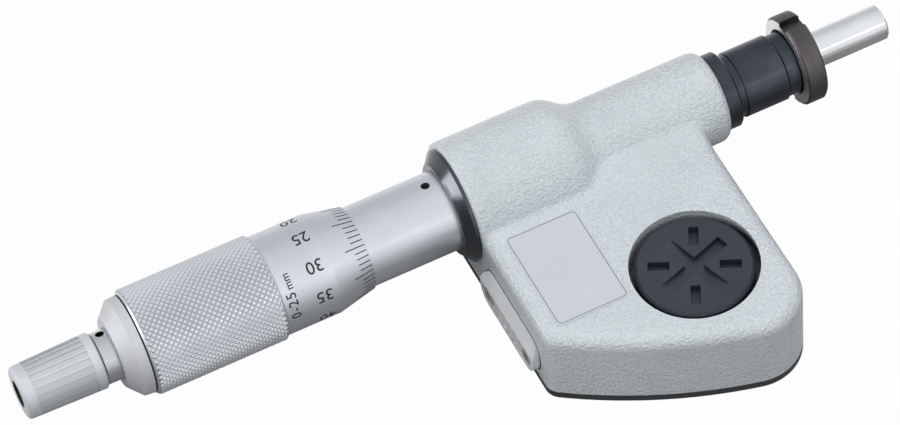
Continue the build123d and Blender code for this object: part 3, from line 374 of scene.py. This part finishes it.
def darkened(material, low, high, stops, taper=0.0, middle_x=0.0, half_length=1.0):
    """Painted shade: multiply a lathe piece's colour by values laid out over the distance from the spindle
    axis.
    """
    nodes, links = material.node_tree.nodes, material.node_tree.links
    shader = nodes["Principled BSDF"]
    source = nodes.new("ShaderNodeTexCoord")
    parts = nodes.new("ShaderNodeSeparateXYZ")
    links.new(source.outputs["Object"], parts.inputs[0])
    across = nodes.new("ShaderNodeVectorMath")
    across.operation = "MULTIPLY"
    across.inputs[1].default_value = (0, 1, 1)
    links.new(source.outputs["Object"], across.inputs[0])
    distance = nodes.new("ShaderNodeVectorMath")
    distance.operation = "LENGTH"
    links.new(across.outputs[0], distance.inputs[0])
    level = nodes.new("ShaderNodeMath")
    level.operation = "MULTIPLY_ADD"
    level.inputs[1].default_value = -taper
    links.new(parts.outputs["X"], level.inputs[0])
    links.new(distance.outputs["Value"], level.inputs[2])
    band = nodes.new("ShaderNodeValToRGB")
    links.new(spread(nodes, links, level.outputs[0], 0.0, 1.0, low, high), band.inputs[0])
    ends = band.color_ramp.elements
    ends[0].color = (stops[0][1],) * 3 + (1,)
    ends[1].color = (stops[-1][1],) * 3 + (1,)
    for place, value in stops[1:-1]:
        ends.new(place).color = (value, value, value, 1)
    along = nodes.new("ShaderNodeMath")
    along.operation = "COMPARE"
    along.inputs[1].default_value = middle_x
    along.inputs[2].default_value = half_length
    links.new(parts.outputs["X"], along.inputs[0])
    multiply = nodes.new("ShaderNodeMix")
    multiply.data_type = "RGBA"
    multiply.blend_type = "MULTIPLY"
    links.new(along.outputs[0], multiply.inputs["Factor"])
    links.new(shader.inputs["Base Color"].links[0].from_socket, multiply.inputs["A"])
    links.new(band.outputs[0], multiply.inputs["B"])
    links.new(multiply.outputs["Result"], shader.inputs["Base Color"])
    return material


panel_screw_black = turned("panel_screw_black", (0.050, 0.050, 0.052), (0.075, 0.075, 0.078), (0.28, 0.42))
dress(panel_screw_black, "front_panel_screws")

# Display: a liquid crystal cell behind a clear acrylic window, held by a white frame on the board.
# Its dark figures lie on the cell's front glass, and two rubber strips carry the current to it.
window_acrylic, nodes, links, shader = open_material("window_acrylic")
haze = mottle(nodes, links, object_point(nodes, links), 60.0, 2.0)
links.new(spread(nodes, links, haze, 0.015, 0.05), shader.inputs["Roughness"])
shader.inputs["Base Color"].default_value = (0.96, 0.98, 0.98, 1)
shader.inputs["Transmission Weight"].default_value = 1.0
shader.inputs["IOR"].default_value = 1.49
dress(window_acrylic, "display_window")

cell_glass, nodes, links, shader = open_material("cell_glass")
film = mottle(nodes, links, object_point(nodes, links), 1500.0, 2.0)
links.new(tint(nodes, links, film, (0.34, 0.385, 0.335), (0.385, 0.43, 0.375)), shader.inputs["Base Color"])
links.new(spread(nodes, links, film, 0.16, 0.24), shader.inputs["Roughness"])
dress(cell_glass, "display_panel")
dress(moulded("frame_white", (0.78, 0.78, 0.76)), "display_frame")
dress(moulded("strip_rubber_pink", (0.42, 0.31, 0.28), gloss=(0.6, 0.75)), "display_contact_strips")

figure_ink, nodes, links, shader = open_material("figure_ink")
speck = mottle(nodes, links, object_point(nodes, links), 4000.0, 2.0)
ink_shades = tint(nodes, links, speck, (0.010, 0.011, 0.013), (0.020, 0.021, 0.024))
links.new(ink_shades, shader.inputs["Base Color"])
links.new(spread(nodes, links, speck, 0.45, 0.65), shader.inputs["Roughness"])


def finish_mesh(name, shape, material, body, crisp=32):
    """Turn a bmesh into a piece that rides on a CAD body, with soft shading and crisp edges."""
    bmesh.ops.remove_doubles(shape, verts=shape.verts, dist=0.0000002)
    bmesh.ops.recalc_face_normals(shape, faces=shape.faces)
    mesh = bpy.data.meshes.new(name)
    shape.to_mesh(mesh)
    shape.free()
    mesh.shade_smooth()
    mesh.set_sharp_from_angle(angle=radians(crisp))
    mesh.materials.append(material)
    piece = bpy.data.objects.new(name, mesh)
    bpy.context.scene.collection.objects.link(piece)
    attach(piece, body)
    return piece


def bar(shape, length, width, thickness, place):
    """Add one thin bar to a bmesh and set it in place."""
    corners = bmesh.ops.create_cube(shape, size=1.0)["verts"]
    bmesh.ops.scale(shape, vec=(length, width, thickness), verts=corners)
    bmesh.ops.transform(shape, matrix=place, verts=corners)


glass_low, glass_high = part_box("display_panel")
figure_height, figure_width = 7.2 * mm, 3.9 * mm
stroke, gap, ink = 0.75 * mm, 0.12 * mm, 0.02 * mm
lit_bars = {"0": "abcdef", "1": "bc", "5": "acdfg"}
figure_start, figure_pitch = -11.0 * mm, figure_width + 1.55 * mm
readout = bmesh.new()
pen = figure_start
for figure in "15000":
    h, w = figure_height / 2, figure_width / 2
    spots = {"a": (0, h, 0), "g": (0, 0, 0), "d": (0, -h, 0), "b": (w, h / 2, 1), "c": (w, -h / 2, 1),
             "e": (-w, -h / 2, 1), "f": (-w, h / 2, 1)}
    for key in lit_bars[figure]:
        x, y, upright = spots[key]
        run = (h if upright else figure_width) - stroke / 2 - gap
        size = (stroke, run) if upright else (run, stroke)
        bar(readout, *size, ink, Matrix.Translation((pen + x, y, 0)))
    pen += figure_pitch
bar(readout, stroke, stroke, ink, Matrix.Translation((figure_start + 1.5 * figure_pitch,
                                                      -figure_height / 2, 0)))
face_up = Matrix.Translation(((glass_low.x + glass_high.x) / 2, (glass_low.y + glass_high.y) / 2,
                              glass_low.z - ink / 2)) @ Matrix.Rotation(pi, 4, "Y")
bmesh.ops.transform(readout, matrix=face_up, verts=readout.verts)
finish_mesh("display_figures", readout, figure_ink, "housing")

# Buttons: three moulded caps that press the domes of a rubber mat on the board.
button_grey = moulded("button_grey", (0.40, 0.42, 0.43), gloss=(0.30, 0.45))
dress(button_grey, "button_left", "button_middle", "button_right")
dress(moulded("mat_rubber", (0.30, 0.31, 0.32), gloss=(0.6, 0.75)), "key_mat")

# Board: green glass-epoxy with the measuring chip, held by four zinc plated screws.
# The solder mask is glossy, and copper tracks show through it as a slightly paler pattern.
board_mask, nodes, links, shader = open_material("board_mask")
point = object_point(nodes, links)
tracks = nodes.new("ShaderNodeTexBrick")
tracks.inputs["Scale"].default_value = 420.0
tracks.inputs["Mortar Size"].default_value = 0.035
tracks.inputs["Color1"].default_value = (0.010, 0.085, 0.035, 1)
tracks.inputs["Color2"].default_value = (0.013, 0.100, 0.042, 1)
tracks.inputs["Mortar"].default_value = (0.030, 0.170, 0.070, 1)
links.new(point, tracks.inputs["Vector"])
links.new(tracks.outputs["Color"], shader.inputs["Base Color"])
links.new(spread(nodes, links, mottle(nodes, links, point, 900.0), 0.22, 0.34), shader.inputs["Roughness"])
relief(nodes, links, shader, tracks.outputs["Fac"], 0.00002, 0.5)
dress(board_mask, "main_board", "encoder_stator", "encoder_rotor")
dress(moulded("chip_epoxy", (0.018, 0.018, 0.019)), "measuring_chip")
zinc = turned("zinc_plate", (0.40, 0.40, 0.41), (0.52, 0.52, 0.53), (0.24, 0.38))
dress(zinc, "board_screws", "ratchet_screw")

# Button cell in its white cup, with gold plated contacts below it and beside it.
dress(moulded("cup_white", (0.74, 0.74, 0.72)), "battery_holder", "flex_socket")
dress(turned("nickel_can", (0.58, 0.58, 0.57), (0.68, 0.68, 0.67), (0.20, 0.32)), "battery")
dress(turned("contact_gold", (0.66, 0.46, 0.17), (0.76, 0.56, 0.25), (0.20, 0.32)), "battery_contact_minus",
      "battery_contact_plus")

# Battery cap: a dark slate screw cap, satin moulded, with coin slots and an O-ring under its head.
cap_slate = moulded("cap_slate", (0.024, 0.029, 0.042), 0.000008, (0.36, 0.50), 3200.0)
dress(cap_slate, "battery_cap")
dress(gasket_rubber, "battery_cap_o_ring")

# Output connector behind a grey moulded cover, which two bright cross-head screws hold on a gasket.
cover_grey = moulded("cover_grey", (0.84, 0.85, 0.86), 0.000012, (0.30, 0.44))
dress(cover_grey, "connector_cover")


def rounded_line(width, height, corner, line_width, thickness):
    """A thin line round a rectangle with round corners, about the origin of the XY plane."""
    outline = bmesh.new()
    bmesh.ops.create_grid(outline, x_segments=1, y_segments=1, size=0.5)
    bmesh.ops.scale(outline, vec=(width, height, 1), verts=outline.verts)
    bmesh.ops.bevel(outline, geom=outline.verts, offset=corner, segments=6, profile=0.5, affect="VERTICES",
                    material=-1)
    inner = outline.faces[:]
    bmesh.ops.inset_individual(outline, faces=inner, thickness=line_width)
    bmesh.ops.delete(outline, geom=inner, context="FACES_ONLY")
    raised = bmesh.ops.extrude_face_region(outline, geom=outline.faces[:])["geom"]
    bmesh.ops.translate(outline, vec=(0, 0, thickness),
                        verts=[v for v in raised if isinstance(v, bmesh.types.BMVert)])
    return outline


# Painted shadow: a thin black line set on the wall round the cover stands in for the shaded gap between the
# cover and the casting.
cover_low, cover_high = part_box("connector_cover")
cover_corner, cover_stands_out = 3.0 * mm, 1.4 * mm
gap_shadow_width, gap_shadow_thickness = 0.28 * mm, 0.06 * mm
gap_shadow_line = rounded_line(cover_high.y - cover_low.y + 2 * gap_shadow_width,
                     cover_high.z - cover_low.z + 2 * gap_shadow_width, cover_corner + gap_shadow_width, gap_shadow_width,
                     gap_shadow_thickness)
on_wall = Matrix.Translation((cover_low.x + cover_stands_out - gap_shadow_thickness / 2,
                              (cover_low.y + cover_high.y) / 2, (cover_low.z + cover_high.z) / 2))
on_wall @= Matrix(((0, 0, 1), (1, 0, 0), (0, 1, 0))).to_4x4()
bmesh.ops.transform(gap_shadow_line, matrix=on_wall, verts=gap_shadow_line.verts)
finish_mesh("cover_gap_shadow", gap_shadow_line, gasket_rubber, "housing")
dress(turned("screw_bright", (0.74, 0.75, 0.76), (0.84, 0.85, 0.86), (0.18, 0.28)), "connector_cover_screws")
dress(gasket_rubber, "connector_gasket")
dress(panel_black, "output_connector")

# Label: thin smooth foil, left bare, with one fine printed line round its edge.
foil, nodes, links, shader = open_material("label_foil")
cloud = mottle(nodes, links, object_point(nodes, links), 200.0, 2.0)
foil_shades = tint(nodes, links, cloud, (0.625, 0.655, 0.695), (0.650, 0.680, 0.720))
links.new(foil_shades, shader.inputs["Base Color"])
links.new(spread(nodes, links, cloud, 0.34, 0.44), shader.inputs["Roughness"])
dress(foil, "rating_label")
label_low, label_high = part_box("rating_label")
line_set_in, line_width, corner = 0.35 * mm, 0.12 * mm, 0.8 * mm
span = label_high - label_low
outline = rounded_line(span.x - 2 * line_set_in, span.y - 2 * line_set_in, corner, line_width, 0.015 * mm)
bmesh.ops.translate(outline, vec=((label_low.x + label_high.x) / 2, (label_low.y + label_high.y) / 2,
                                  label_high.z - 0.002 * mm), verts=outline.verts)
line_ink, nodes, links, shader = open_material("line_ink")
speck = mottle(nodes, links, object_point(nodes, links), 4000.0, 2.0)
links.new(tint(nodes, links, speck, (0.10, 0.11, 0.12), (0.16, 0.17, 0.18)), shader.inputs["Base Color"])
links.new(spread(nodes, links, speck, 0.45, 0.65), shader.inputs["Roughness"])
finish_mesh("label_line", outline, line_ink, "housing")

# Stem: turned steel with a black oxide finish, fixed in the casting's nose. Its round clamp nut has
# two spanner slots, a browner, rougher oxide and a rear face ground bright. A rubber seal wipes the
# spindle inside it.
stem_black = turned("stem_black", (0.048, 0.054, 0.066), (0.078, 0.085, 0.100), (0.20, 0.30), 0.000002)
dress(stem_black, "stem")
dress(gasket_rubber, "spindle_seal")
nut_black = turned("nut_black", (0.095, 0.086, 0.090), (0.135, 0.124, 0.128), (0.34, 0.48), 0.000003, 1500.0)
nodes, links = nut_black.node_tree.nodes, nut_black.node_tree.links
shader = nodes["Principled BSDF"]
parts = nodes.new("ShaderNodeSeparateXYZ")
links.new(object_point(nodes, links), parts.inputs[0])
ground_face = nodes.new("ShaderNodeMath")
ground_face.operation = "LESS_THAN"
ground_face.inputs[1].default_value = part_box("clamp_nut")[0].x + 0.02 * mm
links.new(parts.outputs["X"], ground_face.inputs[0])
bright = nodes.new("ShaderNodeMix")
bright.data_type = "RGBA"
links.new(ground_face.outputs[0], bright.inputs["Factor"])
links.new(shader.inputs["Base Color"].links[0].from_socket, bright.inputs["A"])
bright.inputs["B"].default_value = (0.78, 0.78, 0.79, 1)
links.new(bright.outputs["Result"], shader.inputs["Base Color"])
dress(nut_black, "clamp_nut")

# Spindle: hardened steel, ground bright, with a flat lapped measuring face.
spindle_bright = turned("spindle_bright", (0.70, 0.71, 0.72), (0.80, 0.81, 0.82),
                        (0.12, 0.20), 0.0000004, 4200.0)
dress(spindle_bright, "spindle")

# Encoder inside the tube: a brass bush keyed to the spindle carries the etched disc.
dress(turned("bush_brass", (0.60, 0.43, 0.17), (0.70, 0.52, 0.24), (0.20, 0.34)), "rotor_bush")
tool_steel = turned("tool_steel_ground", (0.34, 0.34, 0.35), (0.44, 0.44, 0.45), (0.24, 0.38))
dress(tool_steel, "rotor_key", "adjusting_nut", "ratchet_pawl")
# Painted shade: the inner sleeve is near black so that the hole in the outer sleeve shows as dark shadow.
dress(turned("inner_sleeve_shadow_black", (0.016, 0.016, 0.017), (0.026, 0.026, 0.027), (0.34, 0.48)), "inner_sleeve")
spring_bright = turned("spring_bright", (0.48, 0.48, 0.49), (0.58, 0.58, 0.59), (0.20, 0.34))
dress(spring_bright, "thrust_spring", "ratchet_spring")
dress(moulded("flex_amber", (0.52, 0.24, 0.04), 0.000003, (0.22, 0.34)), "encoder_flex")

# Sleeve ring: a fine turned cone in black anodised aluminium, screwed on against the casting.
ring_black = turned("ring_black", (0.075, 0.080, 0.088), (0.090, 0.096, 0.106), (0.14, 0.20), 0.0000008)
dress(ring_black, "sleeve_ring")

# Outer sleeve: a ground tube with satin chrome on it, friction-fitted over the threaded inner sleeve
# so that a spanner in its hole can turn it to zero. Its scale is engraved and inked on the far side.
sleeve_chrome = turned("sleeve_chrome", (0.64, 0.66, 0.70), (0.70, 0.72, 0.76),
                       (0.30, 0.38), 0.0000006, 3600.0)
dress(sleeve_chrome, "outer_sleeve")
sleeve_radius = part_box("outer_sleeve")[1].z
first_mark, mark_spacing = -57.3 * mm, 0.5 * mm
index_angle = radians(178.4)
ink_proud = 0.012 * mm


def lay_round(flat, into, x, angle, radius, across=False):
    """Bend a flat mesh onto a round part. It reads towards -X, or round the part when across is set."""
    shape = bmesh.new()
    shape.from_mesh(flat)
    turning = 0 if across else 1
    normal = Vector((1, 0, 0)) if across else Vector((0, 1, 0))
    reach = max((abs(v.co[turning]) for v in shape.verts), default=0)
    for i in range(-int(reach / (0.3 * mm)), int(reach / (0.3 * mm)) + 1):
        everything = shape.verts[:] + shape.edges[:] + shape.faces[:]
        bmesh.ops.bisect_plane(shape, geom=everything, plane_co=normal * (0.3 * mm * i), plane_no=normal,
                               dist=0.0000001)
    for v in shape.verts:
        along, round_it = (v.co.y, -v.co.x) if across else (v.co.x, v.co.y)
        height, place = radius + v.co.z, angle + round_it / radius
        v.co = (x - along, -height * sin(place), height * cos(place))
    bent = bpy.data.meshes.new("bent")
    shape.to_mesh(bent)
    shape.free()
    into.from_mesh(bent)
    bpy.data.meshes.remove(bent)


def printed(words, height, spacing=1.0):
    """Figures as a thin solid mesh about the origin of the XY plane."""
    curve = bpy.data.curves.new("figures", "FONT")
    curve.body = words
    curve.size = height / 0.7
    curve.space_character = spacing
    curve.align_x = "CENTER"
    curve.align_y = "CENTER"
    curve.resolution_u = 3
    curve.extrude = ink_proud
    curve.offset = 0.02 * mm
    holder = bpy.data.objects.new("figures", curve)
    bpy.context.scene.collection.objects.link(holder)
    bpy.context.view_layer.update()
    flat = bpy.data.meshes.new_from_object(holder)
    bpy.data.objects.remove(holder)
    bpy.data.curves.remove(curve)
    return flat


marks = bmesh.new()
flat_marks = bmesh.new()
for i in range(51):
    whole = i % 2 == 0
    length = 2.6 * mm if i % 10 == 0 else 1.7 * mm
    middle_y = (length / 2 + 0.25 * mm) if whole else -(0.85 * mm + 0.25 * mm)
    bar(flat_marks, 0.13 * mm, length if whole else 1.7 * mm, 2 * ink_proud,
        Matrix.Translation((i * mark_spacing, middle_y, 0)))
bar(flat_marks, 28.0 * mm, 0.15 * mm, 2 * ink_proud, Matrix.Translation((12.4 * mm, 0, 0)))
flat_mesh = bpy.data.meshes.new("flat_marks")
flat_marks.to_mesh(flat_mesh)
flat_marks.free()
lay_round(flat_mesh, marks, first_mark, index_angle, sleeve_radius)
for i in range(0, 26, 5):
    lay_round(printed(str(i), 1.9 * mm), marks, first_mark - i * mm, index_angle + 4.1 * mm / sleeve_radius,
              sleeve_radius)
finish_mesh("sleeve_scale", marks, figure_ink, "sleeve")

# Thimble: turned steel with satin chrome, a bevel with fifty inked lines at its front, a smooth band
# with the figures, and a knurled grip. The knurl is rolled: diamonds at 45 degrees, 52 round it.
thimble_low, thimble_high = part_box("thimble")
front, rear = thimble_high.x / mm, thimble_low.x / mm
bevel_end, knurl_start = front - 6.9, front - 16.8
edge_radius, barrel_radius, valley_radius = 7.5, 9.0, 9.25
socket_floor, web_front = rear + 7.0, rear + 12.0


def spun(outline, steps):
    """Turn a closed outline of (x, radius) corners in millimetres about the spindle axis."""
    shape = bmesh.new()
    ring = [shape.verts.new((x * mm, 0, r * mm)) for x, r in outline]
    edges = [shape.edges.new(pair) for pair in zip(ring, ring[1:] + ring[:1])]
    bmesh.ops.spin(shape, geom=ring + edges, cent=(0, 0, 0), axis=(1, 0, 0), dvec=(0, 0, 0), angle=2 * pi,
                   steps=steps, use_merge=True, use_duplicate=False)
    return shape


thimble_chrome = turned("thimble_chrome", (0.64, 0.66, 0.70), (0.70, 0.72, 0.76),
                        (0.32, 0.40), 0.0000006, 3600.0)
barrel = spun([(front, 7.30), (front, edge_radius - 0.05), (front - 0.05, edge_radius + 0.01),
               (bevel_end, barrel_radius), (knurl_start, barrel_radius),
               (knurl_start - 0.25, valley_radius - 0.01),
               (rear + 0.25, valley_radius - 0.01), (rear, barrel_radius), (rear, 8.2), (socket_floor, 8.2),
               (socket_floor, 3.0), (web_front, 3.6), (web_front, 7.9), (bevel_end, 7.9),
               (bevel_end + 0.6, 7.30)], 128)
thimble_barrel = finish_mesh("thimble_barrel", barrel, thimble_chrome, "spindle", crisp=10)
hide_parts("thimble")

knurl_chrome, nodes, links, shader = open_material("knurl_chrome")
point = object_point(nodes, links)
cloud = mottle(nodes, links, point, 130.0, 2.0)
links.new(tint(nodes, links, cloud, (0.74, 0.76, 0.79), (0.80, 0.82, 0.85)), shader.inputs["Base Color"])
links.new(spread(nodes, links, mottle(nodes, links, point, 3000.0), 0.18, 0.26), shader.inputs["Roughness"])
shader.inputs["Metallic"].default_value = 1.0
# Painted shade: the knurl's colour darkens towards the valleys between the diamonds.
darkened(knurl_chrome, (valley_radius - 0.05) * mm, (valley_radius + 0.27) * mm,
         ((0.0, 0.62), (0.5, 0.95), (1.0, 1.0)))
rows_round, rows_along = 52, 21
knurl_front, knurl_back = knurl_start - 0.25, rear + 0.25
knurl = bmesh.new()
pitch = (knurl_front - knurl_back) / rows_along
line = [knurl.verts.new(((knurl_front - i * pitch) * mm, 0, valley_radius * mm))
        for i in range(rows_along + 1)]
edges = [knurl.edges.new(pair) for pair in zip(line, line[1:])]
bmesh.ops.spin(knurl, geom=line + edges, cent=(0, 0, 0), axis=(1, 0, 0), dvec=(0, 0, 0), angle=2 * pi,
               steps=rows_round, use_merge=True, use_duplicate=False)
bmesh.ops.recalc_face_normals(knurl, faces=knurl.faces)
if knurl.faces[0].normal.dot(Vector((0, *knurl.faces[0].calc_center_median().yz))) < 0:
    bmesh.ops.reverse_faces(knurl, faces=knurl.faces)
grid_edges = knurl.edges[:]
bmesh.ops.poke(knurl, faces=knurl.faces[:], offset=valley_radius * mm * (1 - cos(pi / rows_round)))
inner_edges = [e for e in grid_edges if e.is_valid and len(e.link_faces) == 2]
bmesh.ops.dissolve_edges(knurl, edges=inner_edges, use_verts=False)
diamonds = [f for f in knurl.faces if len(f.verts) == 4]
bmesh.ops.inset_individual(knurl, faces=diamonds, thickness=0.36 * mm, depth=0.30 * mm)
rims = [e for e in knurl.edges if e.is_boundary]
lip = bmesh.ops.extrude_edge_only(knurl, edges=rims)["geom"]
under = [v for v in lip if isinstance(v, bmesh.types.BMVert)]
bmesh.ops.scale(knurl, vec=(1, 0.985, 0.985), verts=under)
lip_edges = [e for e in lip if isinstance(e, bmesh.types.BMEdge) and e.is_boundary]
bmesh.ops.bridge_loops(knurl, edges=lip_edges)
finish_mesh("thimble_knurl", knurl, knurl_chrome, "spindle")

scale_lines = bmesh.new()
slope = atan2(barrel_radius - edge_radius, front - bevel_end)
line_start = 0.12
for i in range(50):
    length = 3.8 if i % 5 == 0 else 2.3
    along = line_start + length / 2
    angle = radians(34.4 + (i - 30) * 7.2)
    place = Matrix.Rotation(angle, 4, "X")
    place @= Matrix.Translation(((front - along * cos(slope)) * mm, 0,
                                 (edge_radius + along * sin(slope)) * mm))
    place @= Matrix.Rotation(slope, 4, "Y")
    bar(scale_lines, length * mm, 0.18 * mm, 2 * ink_proud, place)
for i in range(0, 50, 5):
    angle = radians(34.4 + (i - 30) * 7.2)
    lay_round(printed(str(i), 2.2 * mm), scale_lines, -82.0 * mm, angle, barrel_radius * mm)
for words, height, spacing, x, angle in (("0-25", 1.75, 1.20, -87.45, 67.5), ("mm", 1.35, 1.0, -87.25, 38.5)):
    lay_round(printed(words, height * mm, spacing), scale_lines, x * mm, radians(angle), barrel_radius * mm,
              across=True)
finish_mesh("thimble_scale", scale_lines, figure_ink, "spindle")

# Thimble cap and ratchet: a satin chrome cone screwed in over a black seal ring, the bright collar that
# clamps the thimble on the spindle's taper, and the fluted knob that slips when the spindle meets work.
cap_chrome = turned("cap_chrome", (0.64, 0.65, 0.67), (0.68, 0.69, 0.71), (0.56, 0.64), 0.0000008)
cap_chrome.node_tree.nodes["Principled BSDF"].inputs["Metallic"].default_value = 0.35
dress(cap_chrome, "thimble_cap")
dress(gasket_rubber, "cap_seal_ring")
collar_chrome = turned("collar_chrome", (0.56, 0.57, 0.59), (0.66, 0.67, 0.69), (0.22, 0.30), 0.000001)
# Painted shade: inside the collar's spanner hole the colour falls to near black.
dress(darkened(collar_chrome, 4.25 * mm, 4.50 * mm, ((0.0, 0.03), (1.0, 1.0))), "ratchet_collar")
knob_satin = turned("knob_satin", (0.66, 0.68, 0.70), (0.71, 0.73, 0.75), (0.50, 0.60), 0.0000015)
knob_satin.node_tree.nodes["Principled BSDF"].inputs["Metallic"].default_value = 0.4
knob_low, knob_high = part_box("ratchet_knob")
knob_small_radius, knob_big_radius, knob_recess_radius = 4.75 * mm, 5.05 * mm, 2.40 * mm
knob_length = knob_high.x - knob_low.x
knob_taper = (knob_big_radius - knob_small_radius) / knob_length
surface = knob_small_radius - knob_taper * knob_low.x
# Painted shade: the knob is darker down the walls of its flutes and near black inside its central recess.
darkened(knob_satin, surface - 0.20 * mm, surface + 0.05 * mm,
         ((0.0, 0.88), (0.26, 0.88), (0.32, 0.40), (0.66, 0.40), (0.76, 1.0), (1.0, 1.0)), knob_taper,
         (knob_low.x + knob_high.x) / 2 + 0.2 * mm, knob_length / 2 - 1.9 * mm)
darkened(knob_satin, knob_recess_radius, knob_recess_radius + 0.1 * mm, ((0.0, 0.04), (1.0, 1.0)))
dress(knob_satin, "ratchet_knob")
